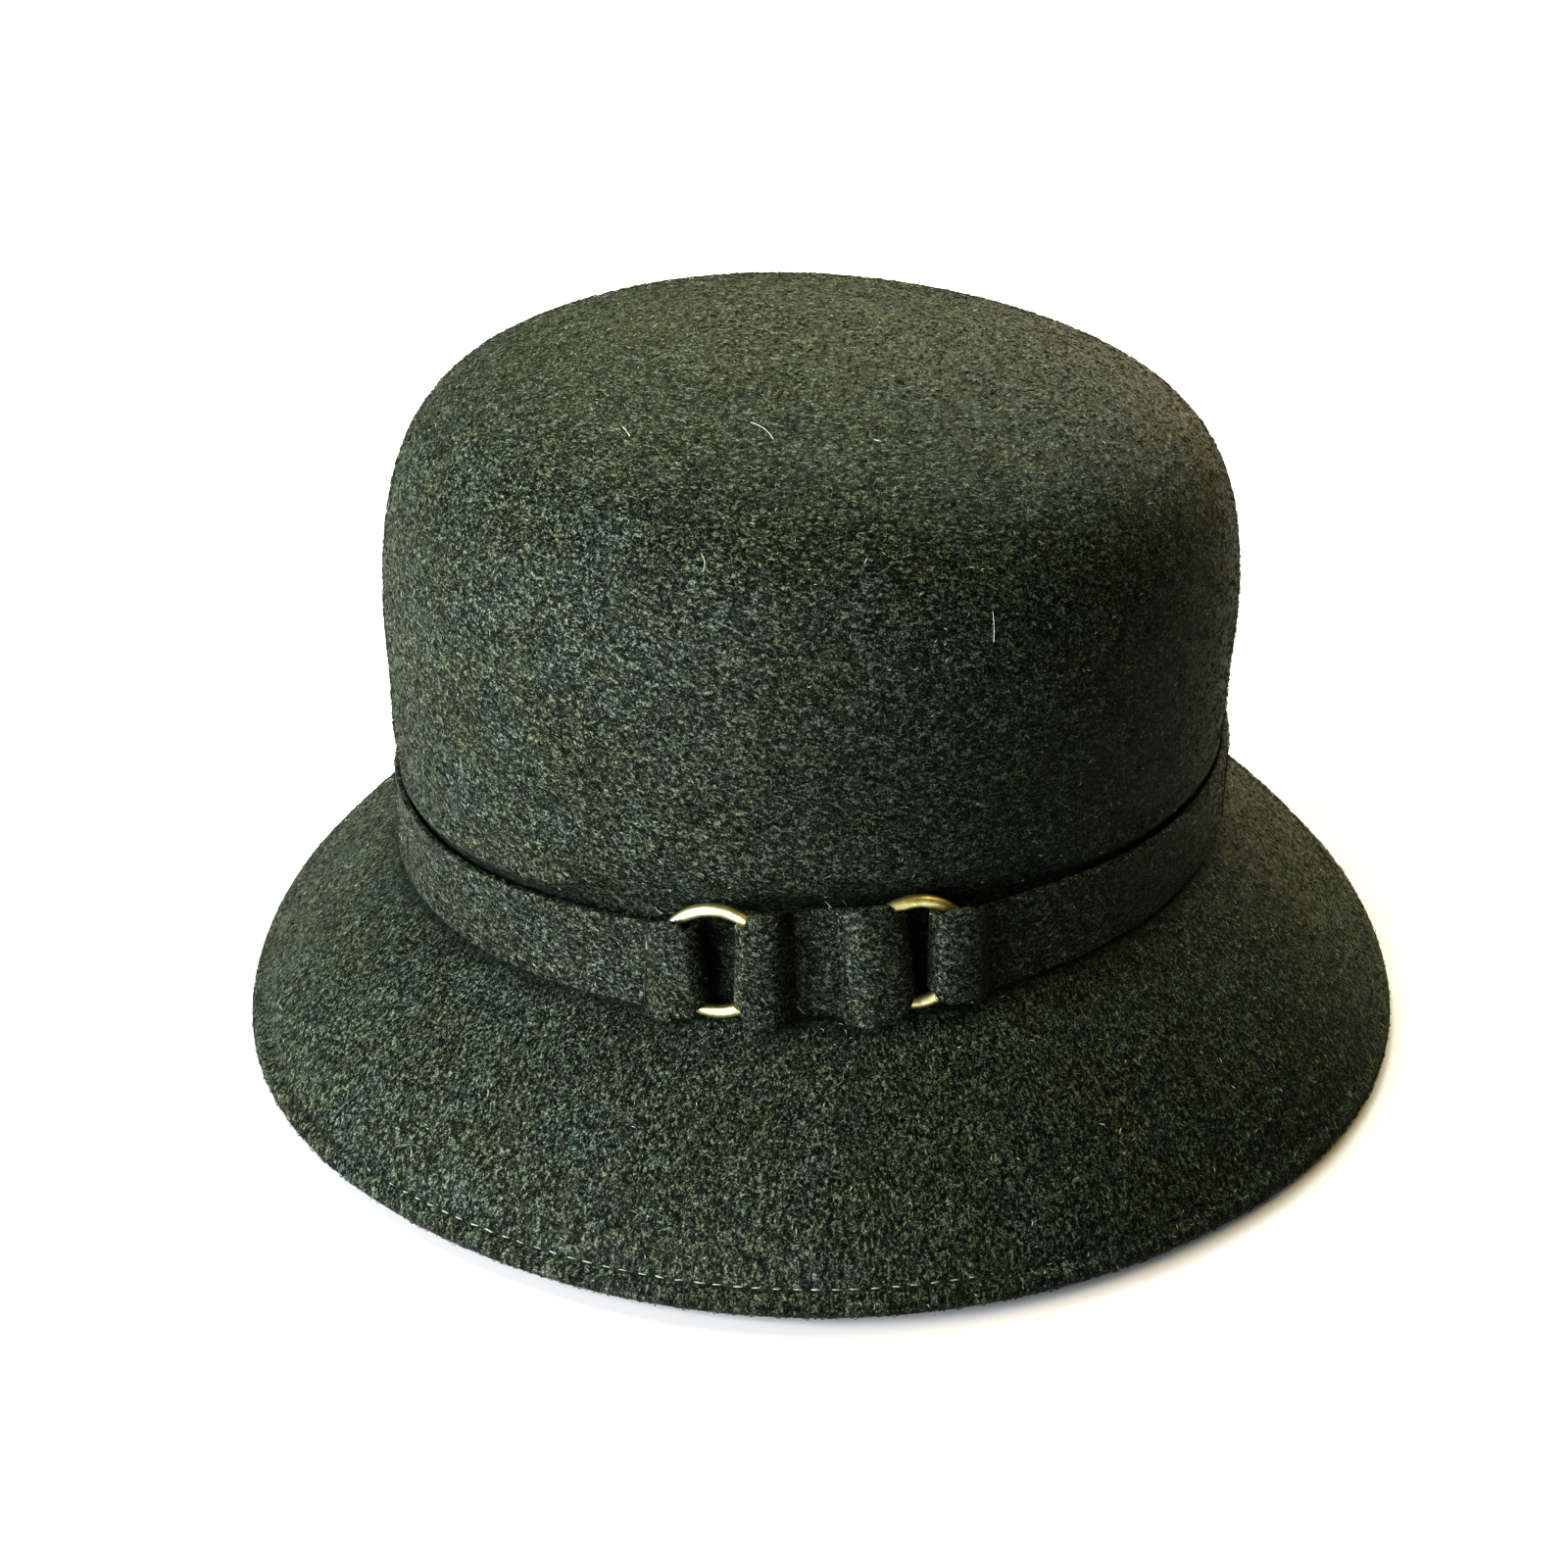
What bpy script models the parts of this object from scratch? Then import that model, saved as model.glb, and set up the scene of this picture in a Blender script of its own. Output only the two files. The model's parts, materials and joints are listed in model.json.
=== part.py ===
"""A wool-felt cloche hat: a blocked felt hood, a felt band round its neck, and two brass rings at the front.

Run it with blender --background --python part.py, or from the text editor. Metres, +Z up, front towards -Y.
The hood is turned as a round blank and then blocked: pulled to an oval, tipped, and laid on its level rim.
The straps are laid out flat, looped through their rings, and wrapped round the neck of the hood.
"""

import bisect
import math

import bmesh
import bpy
from mathutils import Matrix, Vector

# Felt hood
FELT = 0.0022                 # thickness of the hood's felt
CROWN_HALF_WIDTH = 0.0890     # at the crown's fullest, side to side
CROWN_HALF_LENGTH = 0.0956    # front to back
CROWN_HEIGHT = 0.1059         # foot of the band to the top
NECK_HEIGHT = 0.0340          # foot of the band above the surface that the rim stands on
WAIST_DEPTH = 0.0040          # how far the neck is drawn in behind the band
RIM_HALF_WIDTH = 0.1233
RIM_HALF_LENGTH = 0.1342
BRIM_BULGE = 0.0008           # how far the brim rounds up between neck and rim
HEM_WIDTH = 0.0085            # edge turned under and stitched
RIM_FLAT = 0.0004             # how far the rim's own weight flattens its rounded fold

# How the soft hat sits, its crown against its rim
NECK_SIDE_SHIFT = -0.0029
NECK_BACK_SHIFT = 0.0032
NECK_SIDE_RISE = 0.0039       # of the neck at +X, above its middle
NECK_FRONT_RISE = 0.0043      # of the neck's front
CROWN_SIDE_LEAN = 0.0013
TOP_SIDE_FALL = 0.0051        # of the top towards +X, over the crown's half width
FRONT_LIFT = 0.0020           # the brim's front stands off the surface
FRONT_LIFT_POWER = 4          # how fast that fades to the sides, as a power of the cosine

# Band, tab and rings
STRAP = 0.0016                # thickness of the straps' felt
BAND_WIDTH = 0.0174
TAB_WIDTH = 0.0202
TRIM_SIDE_SHIFT = 0.0018      # the rings' middle, from the middle of the neck's front
RING_BORE = 0.0184
RING_WIRE = 0.0022
LEFT_GAP = 0.0075             # between the two loops in the ring at -X
RIGHT_GAP = 0.0052
TAB_FLAT = 0.0070             # plain stretch of the tab between its two loops
END_LENGTH = 0.0004           # flat length of a stitched end
HIDDEN_TAIL = 0.0008          # how far the hidden ends pass the rings
LANDING_BEND = 0.0012         # bend where a loop comes down beside its ring
CLEARANCE = 0.0003            # between neighbouring pieces

# Crown above the waist: share of the height there, share of the half width
CROWN_ROWS = (
    (1.000, 0.000), (0.984, 0.254), (0.952, 0.454), (0.895, 0.640), (0.806, 0.824),
    (0.679, 0.932), (0.514, 0.981), (0.311, 1.000), (0.120, 0.993),
)
# Waist behind the band: share of the band's width above its foot, share of the waist's depth
WAIST_ROWS = ((1.45, 0.10), (1.12, 0.65), (0.90, 1.00), (0.45, 0.88), (0.00, 0.33))
# Rim: share of the plain oval, each 30 degrees from the front, through +X and the back, to the front again
RIM_SHARES = (1.000, 0.998, 1.020, 1.000, 0.984, 0.988, 1.000, 0.990, 0.988, 1.000, 1.026, 1.004)
# Band: degrees from the front, gap behind its top edge at -X and at +X as shares of the waist's depth
TOP_GAP_ROWS = ((0, 0.27, 0.27), (25, 0.38, 0.32), (50, 0.80, 0.80), (90, 0.45, 0.60), (180, 0.50, 0.50))

# The wider tab lifts the felt that rolls over its top
LIFT_HOLD_ANGLE = math.radians(25)   # from the front, where the lift starts to fade
LIFT_END_ANGLE = math.radians(50)    # where it has faded
LIFT_REACH = 0.0520                  # above the foot of the band, where it has died out
SEGMENTS = 60                 # round the hood
SPAN_STEPS = 2                # rows between two rows of a table
BRIM_STEPS = 6
FOLD_STEPS = 4                # in each quarter turn of a fold
HEM_STEPS = 2
BAND_STEPS = 64               # round the plain stretch of the band
TAB_STEPS = 3
DROP_ANGLE = math.radians(65)
RING_SEGMENTS = 32
WIRE_SEGMENTS = 10
NECK_STEP = math.radians(0.5)
SHARP_ANGLE = math.radians(50)
MERGE_DISTANCE = 1e-6

HOOD_GREEN = (0.030, 0.041, 0.030, 1.0)
BAND_GREEN = (0.027, 0.036, 0.027, 1.0)
ANTIQUE_BRASS = (0.62, 0.50, 0.26, 1.0)


def clear_scene():
    for item in list(bpy.data.objects):
        bpy.data.objects.remove(item)


def round_curve(before, start, end, after, share):
    """The smooth curve through four neighbours, at a share of the way between the middle two."""
    return 0.5 * (
        2 * start + (end - before) * share
        + (2 * before - 5 * start + 4 * end - after) * share ** 2
        + (3 * start - before - 3 * end + after) * share ** 3
    )


def smooth_line(points, steps):
    """The smooth curve through all points but the first and last, which only guide it."""
    line = [points[1]]
    for neighbours in zip(points, points[1:], points[2:], points[3:]):
        line += [round_curve(*neighbours, k / steps) for k in range(1, steps + 1)]
    return line


def smooth_share(share):
    share = min(1.0, max(0.0, share))
    return share * share * (3 - 2 * share)


def from_front(angle):
    """Angle from the front, negative towards -X."""
    return (angle + math.pi) % (2 * math.pi) - math.pi


def top_gap(angle):
    """Gap between the neck and the band's top edge."""
    degrees = math.degrees(from_front(angle))
    side = 1 if degrees < 0 else 2
    for low, high in zip(TOP_GAP_ROWS, TOP_GAP_ROWS[1:]):
        if abs(degrees) <= high[0]:
            share = smooth_share((abs(degrees) - low[0]) / (high[0] - low[0]))
            return WAIST_DEPTH * (low[side] + (high[side] - low[side]) * share)
    return WAIST_DEPTH * TOP_GAP_ROWS[-1][side]


def rim_share(angle):
    count = len(RIM_SHARES)
    place = math.degrees(angle) % 360 / 360 * count
    row = int(place)
    neighbours = [RIM_SHARES[(row + k) % count] for k in (-1, 0, 1, 2)]
    return round_curve(*neighbours, place - row)


def roll_lift(height, angle):
    """How much higher the felt lies above the tab than above the narrower band."""
    front = smooth_share((LIFT_END_ANGLE - abs(from_front(angle))) / (LIFT_END_ANGLE - LIFT_HOLD_ANGLE))
    above = smooth_share((LIFT_REACH - height) / (LIFT_REACH - BAND_WIDTH))
    return (TAB_WIDTH - BAND_WIDTH) * front * min(height / BAND_WIDTH, above)


def waist_radius():
    """Half width of the blank at the waist's narrowest."""
    return CROWN_HALF_WIDTH - WAIST_DEPTH


def seat_radius():
    """Half width of the blank at the foot of the band."""
    return CROWN_HALF_WIDTH - WAIST_DEPTH * WAIST_ROWS[-1][1]


def brim_reach():
    return (RIM_HALF_WIDTH + RIM_HALF_LENGTH - CROWN_HALF_WIDTH - CROWN_HALF_LENGTH) / 2


def rim_fold():
    """Centre of the blank's rounded rim, and where the brim's top runs into it."""
    foot = Vector((seat_radius(), 0.0))
    centre = Vector((CROWN_HALF_WIDTH + brim_reach() - FELT, FELT - RIM_FLAT - NECK_HEIGHT))
    slope = centre - foot
    turn = math.atan2(slope.y, slope.x) + math.asin(FELT / slope.length)
    square = Vector((-math.sin(turn), math.cos(turn)))
    return centre, centre + square * FELT


def crown_line():
    """The blank's outer line from the top down to the foot of the band, as radius and height."""
    base = BAND_WIDTH * WAIST_ROWS[0][0]
    rows = [
        Vector((CROWN_HALF_WIDTH * width, base + (CROWN_HEIGHT - base) * height))
        for height, width in CROWN_ROWS
    ]
    rows += [
        Vector((CROWN_HALF_WIDTH - WAIST_DEPTH * depth, BAND_WIDTH * height))
        for height, depth in WAIST_ROWS
    ]
    mirrored = Vector((-rows[1].x, rows[1].y))
    guide = rows[-1].lerp(rim_fold()[1], 1 / BRIM_STEPS)
    return smooth_line([mirrored, *rows, guide], SPAN_STEPS)


def brim_line():
    """The brim's top, from beyond the foot of the band to the rounded rim."""
    foot = Vector((seat_radius(), 0.0))
    edge = rim_fold()[1]
    return [foot.lerp(edge, k / BRIM_STEPS) for k in range(1, BRIM_STEPS + 1)]


def hem_line():
    """Round the rim and its flattened foot, and back along the hem to its raw edge."""
    centre, edge = rim_fold()
    square = (edge - centre) / FELT
    along = Vector((square.y, -square.x))
    start = math.atan2(square.y, square.x)
    end = -math.asin((FELT - RIM_FLAT) / FELT)
    steps = 2 * FOLD_STEPS
    turns = [start + (end - start) * k / steps for k in range(1, steps)]
    fold = [centre + FELT * Vector((math.cos(turn), math.sin(turn))) for turn in turns]
    half = math.sqrt(FELT ** 2 - (FELT - RIM_FLAT) ** 2)
    flat = [Vector((centre.x + side * half, -NECK_HEIGHT)) for side in (1, -1)]
    hem = [centre - square * FELT - along * HEM_WIDTH * k / HEM_STEPS for k in range(1, HEM_STEPS + 1)]
    return fold + flat + hem, hem[-1] + square * FELT, along


def lining_line(outer, raw_edge, along):
    """The inside of the felt, from the hem's raw edge up to the top."""
    line = [Vector((0.0, outer[0].y - FELT))]
    for before, point, after in zip(outer, outer[1:], outer[2:]):
        slope = (after - before).normalized()
        line.append(point + Vector((slope.y, -slope.x)) * FELT)
    line = [point for point in line if (raw_edge - point).dot(along) > FELT]
    return [raw_edge, *reversed(line)]


def front_lift(angle):
    return FRONT_LIFT * max(0.0, math.cos(angle)) ** FRONT_LIFT_POWER


def block(radius, height, angle):
    """Takes a point of the round blank to its place in the blocked hat."""
    oval = min(radius, CROWN_HALF_WIDTH)
    side = oval * math.sin(angle)
    back = -oval * CROWN_HALF_LENGTH / CROWN_HALF_WIDTH * math.cos(angle)
    x, y = NECK_SIDE_SHIFT + side, NECK_BACK_SHIFT + back
    side_rise = NECK_SIDE_RISE * side / CROWN_HALF_WIDTH
    neck = NECK_HEIGHT + side_rise - NECK_FRONT_RISE * back / CROWN_HALF_LENGTH
    if height > 0:
        share = height / CROWN_HEIGHT
        x += CROWN_SIDE_LEAN * share
        y += NECK_FRONT_RISE * height / CROWN_HALF_LENGTH
        top_fall = TOP_SIDE_FALL * side / CROWN_HALF_WIDTH
        tilt = -(top_fall * share + side_rise) * share
        return Vector((x, y, neck + height + tilt + roll_lift(height, angle)))
    if radius > CROWN_HALF_WIDTH:
        out = (radius - CROWN_HALF_WIDTH) / brim_reach()
        rim = rim_share(angle)
        x += (RIM_HALF_WIDTH * rim * math.sin(angle) - x) * out
        y += (-RIM_HALF_LENGTH * rim * math.cos(angle) - y) * out
    down = -height / NECK_HEIGHT
    return Vector((x, y, neck + (front_lift(angle) - neck) * down + BRIM_BULGE * math.sin(math.pi * down)))


def make_material(name, colour, roughness, metallic):
    material = bpy.data.materials.new(name)
    material.use_nodes = True
    shader = material.node_tree.nodes["Principled BSDF"]
    shader.inputs["Base Color"].default_value = colour
    shader.inputs["Roughness"].default_value = roughness
    shader.inputs["Metallic"].default_value = metallic
    material.diffuse_color = colour
    return material


def add_object(name, bm, material, collection):
    mesh = bpy.data.meshes.new(name)
    bm.to_mesh(mesh)
    bm.free()
    mesh.materials.append(material)
    mesh.shade_smooth()
    mesh.set_sharp_from_angle(angle=SHARP_ANGLE)
    item = bpy.data.objects.new(name, mesh)
    collection.objects.link(item)
    return item


def make_hood(collection, material):
    """Spins the section of the felt into a closed blank and blocks it."""
    outer = crown_line() + brim_line()
    edge, raw_edge, along = hem_line()
    section = outer + edge + lining_line(outer, raw_edge, along)
    bm = bmesh.new()
    verts = [bm.verts.new((0.0, -point.x, point.y)) for point in section]
    edges = [bm.edges.new(pair) for pair in zip(verts, verts[1:])]
    bmesh.ops.spin(
        bm, geom=verts + edges, cent=(0, 0, 0), axis=(0, 0, 1), angle=2 * math.pi,
        steps=SEGMENTS, use_merge=True,
    )
    bmesh.ops.remove_doubles(bm, verts=bm.verts, dist=MERGE_DISTANCE)
    for vert in bm.verts:
        radius = math.hypot(vert.co.x, vert.co.y)
        vert.co = block(radius, vert.co.z, math.atan2(vert.co.x, -vert.co.y))
    bmesh.ops.recalc_face_normals(bm, faces=bm.faces)
    return add_object("felt_hood", bm, material, collection)


def neck_lengths():
    """Length round the neck at the foot of the band, from the front to each whole degree."""
    points = [block(seat_radius(), 0.0, math.radians(degree)) for degree in range(361)]
    lengths = [0.0]
    for first, second in zip(points, points[1:]):
        lengths.append(lengths[-1] + (second - first).length)
    return lengths


def neck_frame(lengths, distance):
    """At a distance round the neck from the front: the band's foot, and the ways along, up and out."""
    distance %= lengths[-1]
    degree = bisect.bisect_right(lengths, distance) - 1
    share = (distance - lengths[degree]) / (lengths[degree + 1] - lengths[degree])
    angle = math.radians(degree + share)
    foot = block(seat_radius(), 0.0, angle)
    head = block(waist_radius() + top_gap(angle), BAND_WIDTH, angle)
    along = block(seat_radius(), 0.0, angle + NECK_STEP) - block(seat_radius(), 0.0, angle - NECK_STEP)
    along.normalize()
    up = head - foot
    up = (up - along * up.dot(along)).normalized()
    return foot, along, up, along.cross(up)


def wire_out():
    """Centre of a ring's wire, out from the felt: in front of one layer of strap."""
    return STRAP + 2 * CLEARANCE + RING_WIRE / 2


def wire_radius():
    """Radius of a ring's centre line."""
    return (RING_BORE + RING_WIRE) / 2


def fold_radius():
    """Radius of the middle of a strap where it goes round the wire."""
    return RING_WIRE / 2 + CLEARANCE + STRAP / 2


def pinch_half(gap):
    """Half the width that a strap is gathered to, where it passes through its ring."""
    free = wire_radius() - RING_WIRE / 2 - CLEARANCE
    return math.sqrt(free ** 2 - (gap / 2 + STRAP) ** 2)


def landing(out):
    """Where a loop's front layer, coming down beside its ring, has settled at a height out from the felt."""
    start = wire_radius() + fold_radius() * math.sin(DROP_ANGLE)
    drop = wire_out() + fold_radius() * math.cos(DROP_ANGLE) - out - LANDING_BEND * (1 - math.cos(DROP_ANGLE))
    return start + drop / math.tan(DROP_ANGLE) + LANDING_BEND * math.sin(DROP_ANGLE)


def on_felt():
    """The middle of a strap that lies on the felt, out from the felt."""
    return CLEARANCE + STRAP / 2


def on_strap():
    return on_felt() + STRAP + CLEARANCE


def stitched_end():
    return landing(on_strap()) + END_LENGTH


def ring_spacing():
    return landing(on_felt()) + TAB_FLAT + stitched_end()


def strap_edges(width):
    """Heights of a strap's lower and upper edges up the neck."""
    return CLEARANCE, CLEARANCE + width


def centred(half):
    """Heights of a strap's edges where a ring holds its middle."""
    return ring_height() - half, ring_height() + half


def loop(gap, out, width):
    """A strap's way over a ring's wire and through the ring, from where it has landed to its back layer.

    Each station has its distance from the ring's centre, its middle out from the felt, and its two edges.
    """
    landed, crest, pinched = strap_edges(width), centred(width / 2), centred(pinch_half(gap))
    bend = fold_radius()
    end = landing(out)
    turns = [DROP_ANGLE * k / FOLD_STEPS for k in range(FOLD_STEPS + 1)]
    path = [
        (end - LANDING_BEND * math.sin(turn), out + LANDING_BEND * (1 - math.cos(turn)))
        for turn in turns
    ]
    path += [
        (wire_radius() + bend * math.sin(turn), wire_out() + bend * math.cos(turn))
        for turn in reversed(turns)
    ]
    stations = []
    for apart, height in path:
        share = (end - apart) / (end - wire_radius())
        edges = [low + (high - low) * share for low, high in zip(landed, crest)]
        stations.append((apart, height, edges))
    centre = gap / 2 + STRAP / 2 + bend
    for k in range(2 * FOLD_STEPS + 1):
        turn = math.pi / 2 * (1 - k / FOLD_STEPS)
        edges = pinched if k else crest
        stations.append((centre - bend * math.cos(turn), wire_out() + bend * math.sin(turn), edges))
    stations.append((wire_radius(), on_felt(), landed))
    return stations


def ring_distances():
    """Distances of the ring centres round the neck from its front."""
    return [TRIM_SIDE_SHIFT + side * ring_spacing() / 2 for side in (-1, 1)]


def ring_height():
    """Height of the ring centres up the neck: the rings stand level with the foot of the straps."""
    return 2 * CLEARANCE + RING_BORE / 2 + RING_WIRE


def strap_point(neck, distance, out, height):
    """Wraps a point of a strap round the neck, but keeps it flat beside a ring, where the ring holds it."""
    foot, _, up, outward = neck_frame(neck, distance)
    point = foot + outward * out + up * height
    near = RING_BORE / 2 + RING_WIRE + HIDDEN_TAIL
    far = ring_spacing() / 2
    for ring in ring_distances():
        apart = (distance - ring + neck[-1] / 2) % neck[-1] - neck[-1] / 2
        foot, along, up, outward = neck_frame(neck, ring)
        flat = foot + along * apart + outward * out + up * height
        point = point.lerp(flat, smooth_share((far - abs(apart)) / (far - near)))
    return point


def placed(ring, side, stations):
    """Turns distances from a ring's centre into distances round the neck."""
    return [(ring + side * apart, out, edges) for apart, out, edges in stations]


def plain(start, stop, steps, width):
    """The stations between two loops, where a strap lies on the felt."""
    return [(start + (stop - start) * k / steps, on_felt(), strap_edges(width)) for k in range(1, steps)]


def smooth_loop(gap, width):
    """A loop whose front layer runs on as the strap, and whose end is hidden behind."""
    tail = RING_BORE / 2 + RING_WIRE + HIDDEN_TAIL
    return loop(gap, on_felt(), width) + [(tail, on_felt(), strap_edges(width))]


def stitched_loop(gap, width):
    """A loop whose end is folded over to the front and stitched down."""
    return [(stitched_end(), on_strap(), strap_edges(width))] + loop(gap, on_strap(), width)


def make_strap(name, stations, neck, collection, material):
    """Lays out a strip with a row across it for each station, wraps it and gives it its thickness."""
    bm = bmesh.new()
    bmesh.ops.create_grid(bm, x_segments=len(stations) - 1, y_segments=2, size=1.0)
    for vert in bm.verts:
        station = round((vert.co.x + 1) / 2 * (len(stations) - 1))
        distance, out, (low, high) = stations[station]
        vert.co = strap_point(neck, distance, out, low + (high - low) * (vert.co.y + 1) / 2)
    item = add_object(name, bm, material, collection)
    solidify = item.modifiers.new("Felt thickness", "SOLIDIFY")
    solidify.thickness = STRAP
    solidify.offset = 0.0
    solidify.use_even_offset = True
    return item


def make_ring(name, distance, neck, collection, material):
    _, along, up, outward = neck_frame(neck, distance)
    bpy.ops.mesh.primitive_torus_add(
        major_radius=wire_radius(), minor_radius=RING_WIRE / 2,
        major_segments=RING_SEGMENTS, minor_segments=WIRE_SEGMENTS,
    )
    ring = bpy.context.object
    ring.name = ring.data.name = name
    ring.matrix_world = (
        Matrix.Translation(strap_point(neck, distance, wire_out(), ring_height()))
        @ Matrix((along, up, outward)).transposed().to_4x4()
    )
    ring.data.materials.append(material)
    ring.data.shade_smooth()
    for holder in list(ring.users_collection):
        holder.objects.unlink(ring)
    collection.objects.link(ring)


def main():
    clear_scene()
    collection = bpy.data.collections.new("cloche_hat")
    bpy.context.scene.collection.children.link(collection)
    make_hood(collection, make_material("hood_felt", HOOD_GREEN, 0.95, 0.0))
    neck = neck_lengths()
    left, right = ring_distances()
    band_felt = make_material("band_felt", BAND_GREEN, 0.95, 0.0)
    band = placed(left, -1, stitched_loop(LEFT_GAP, BAND_WIDTH))
    band += plain(left - wire_radius(), right + landing(on_felt()) - neck[-1], BAND_STEPS, BAND_WIDTH)
    band += placed(right, 1, smooth_loop(RIGHT_GAP, BAND_WIDTH))
    make_strap("band", band, neck, collection, band_felt)
    tab = placed(left, 1, reversed(smooth_loop(LEFT_GAP, TAB_WIDTH)))
    tab += plain(left + landing(on_felt()), right - wire_radius(), TAB_STEPS, TAB_WIDTH)
    tab += placed(right, -1, reversed(stitched_loop(RIGHT_GAP, TAB_WIDTH)))
    make_strap("centre_tab", tab, neck, collection, band_felt)
    brass = make_material("antique_brass", ANTIQUE_BRASS, 0.35, 1.0)
    make_ring("ring_left", left, neck, collection, brass)
    make_ring("ring_right", right, neck, collection, brass)


main()
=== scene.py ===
"""The looks of a wool-felt cloche hat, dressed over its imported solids.

Metres, +Z up, the rings' side towards -Y.
"""

import json
import math

import bmesh
import bpy
import numpy as np
from mathutils import Matrix, Vector
from mathutils.bvhtree import BVHTree

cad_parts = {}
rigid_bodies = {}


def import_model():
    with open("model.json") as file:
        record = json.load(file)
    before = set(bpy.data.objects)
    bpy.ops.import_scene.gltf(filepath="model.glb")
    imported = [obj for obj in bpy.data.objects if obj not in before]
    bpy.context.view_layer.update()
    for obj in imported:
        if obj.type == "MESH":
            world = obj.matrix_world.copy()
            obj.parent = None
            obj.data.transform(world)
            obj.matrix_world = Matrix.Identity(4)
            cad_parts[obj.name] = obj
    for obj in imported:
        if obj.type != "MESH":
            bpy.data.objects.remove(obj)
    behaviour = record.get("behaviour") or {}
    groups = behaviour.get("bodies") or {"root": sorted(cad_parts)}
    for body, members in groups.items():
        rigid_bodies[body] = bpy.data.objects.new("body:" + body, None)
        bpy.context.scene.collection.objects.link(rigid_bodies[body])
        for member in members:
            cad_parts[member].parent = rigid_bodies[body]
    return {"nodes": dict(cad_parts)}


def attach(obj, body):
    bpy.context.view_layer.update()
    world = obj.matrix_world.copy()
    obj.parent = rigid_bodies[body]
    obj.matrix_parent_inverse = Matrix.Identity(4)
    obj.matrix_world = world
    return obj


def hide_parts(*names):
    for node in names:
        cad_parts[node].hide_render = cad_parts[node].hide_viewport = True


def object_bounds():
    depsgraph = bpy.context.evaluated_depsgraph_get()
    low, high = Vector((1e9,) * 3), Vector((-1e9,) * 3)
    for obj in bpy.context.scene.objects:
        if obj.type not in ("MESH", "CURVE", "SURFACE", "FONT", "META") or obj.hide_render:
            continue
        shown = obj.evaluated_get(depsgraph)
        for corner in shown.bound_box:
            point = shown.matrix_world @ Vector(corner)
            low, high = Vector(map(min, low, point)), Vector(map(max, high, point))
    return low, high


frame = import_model()
cad_low, cad_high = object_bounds()

# The photograph, in its own pixels, and the camera that took it
PHOTO_SIZE = 1600
PHOTO_MIDDLE = (824.8, 791.3)         # where the camera's axis meets the picture
CAMERA_AIM = Vector((-0.0029, 0.0032, 0.03615))
CAMERA_DISTANCE = 0.520
CAMERA_ELEVATION = math.radians(28.9)
CAMERA_LENS = 54.4                    # mm, on a sensor 36 mm wide
SENSOR = 36.0

# Felt hood
WELD = 1e-5                           # corners closer than this are merged
SEGMENT = math.radians(6)             # between the CAD hood's segments
INSIDE = Vector((-0.003, 0.003, 0.030))   # a point in the hollow, which the outer felt faces away from
HEM_BAND = 0.015                      # width along the rim that gets finer faces
HEM_CUTS = 4                          # in each edge there that runs in
HEM_EDGE = 0.004                      # by more than this
HEM_HEIGHT = 0.012                    # the hem and its stitches lie below this
STITCH_LINE = 0.0026                  # from the rim's edge in to the hem's stitches, level
HEM_FACES = math.radians(-15)         # where the line of stitches shows best, as an angle from the front
HEM_PLAIN = math.radians(17)          # how far it shows plainly to either side
HEM_FADE = math.radians(24)           # and over what angle it then sinks into the nap
HEM_SUNK = 0.80                       # share that it has sunk by, beyond that
GROOVE_DEPTH = 0.00015                # of the line that the stitches draw in
GROOVE_WIDTH = 0.0003
GROOVE_PAINTED_SHADE = 0.75                    # share of painted shade in it, which darkens the felt
HEM_PRESS = 0.0010                    # how far the hem's roll is pressed flat
HEM_ROLL = (0.0030, 0.0028)           # from the rim's edge to the roll's middle, and its reach
WAVE_SIZE = 0.045                     # from swell to swell of the hand-blocked felt
WAVE_HEIGHT = 0.0003
WAVE_START = 0.006                    # height over which they set in, so that the rim lies flat
LATTICE = 16                          # values along each side of the soft noise's grid, which repeats
LATTICE_MIDDLE = 100.0                # keeps its cells' numbers positive
BRIM_SWELL = 0.0025                   # how far the front of the brim arches out between neck and rim
SWELL_ENDS = (math.radians(60), math.radians(100))    # angles from the front, between which it dies out
SWELL_WAY = (0.65, 0.76)              # outwards and up
TRIM_LEVELS = (0.024, 0.070)          # heights between which the straps lie
TUCK_DEPTH = 0.0005                   # how far the hood dips in beside a strap's edge
TUCK_REACH = 0.0026                   # and how far from it
TUCK_PAINTED_SHADE = 0.85                      # share of painted shade there, which darkens the felt
SHADE_REACH = 0.0028                  # how far from a strap the felt is a little darker, painted shade
SHADE_DARK = 0.5                      # and by what share
STRAP_REACH = 0.008                   # within which the hood's felt feels a strap before it
BEHIND = (0.35, 0.80)                 # how squarely a strap lies before the felt, from not at all to fully
TRIM_ENDS = (math.radians(27), math.radians(38))      # where the rings' trim ends, as an angle from the front
BAND_CLEAR = 0.0006                   # left between the crown's felt and the strap that it rolls against
NECK_PLANE = (-0.044, 0.045, 1.0)     # square to the plane of the band, which parts crown and brim
NECK_LEVEL = (0.036, 0.042)           # along it, from the brim's felt to the crown's
# Where the soft felt has settled since it was blocked: place, reach and shift
SETTLED = (
    (Vector((0.104, 0.0, 0.030)), 0.008, Vector((0.0, 0.0, 0.0016))),
    (Vector((0.088, 0.0, 0.056)), 0.010, Vector((-0.0010, 0.0, 0.0))),
)

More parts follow.
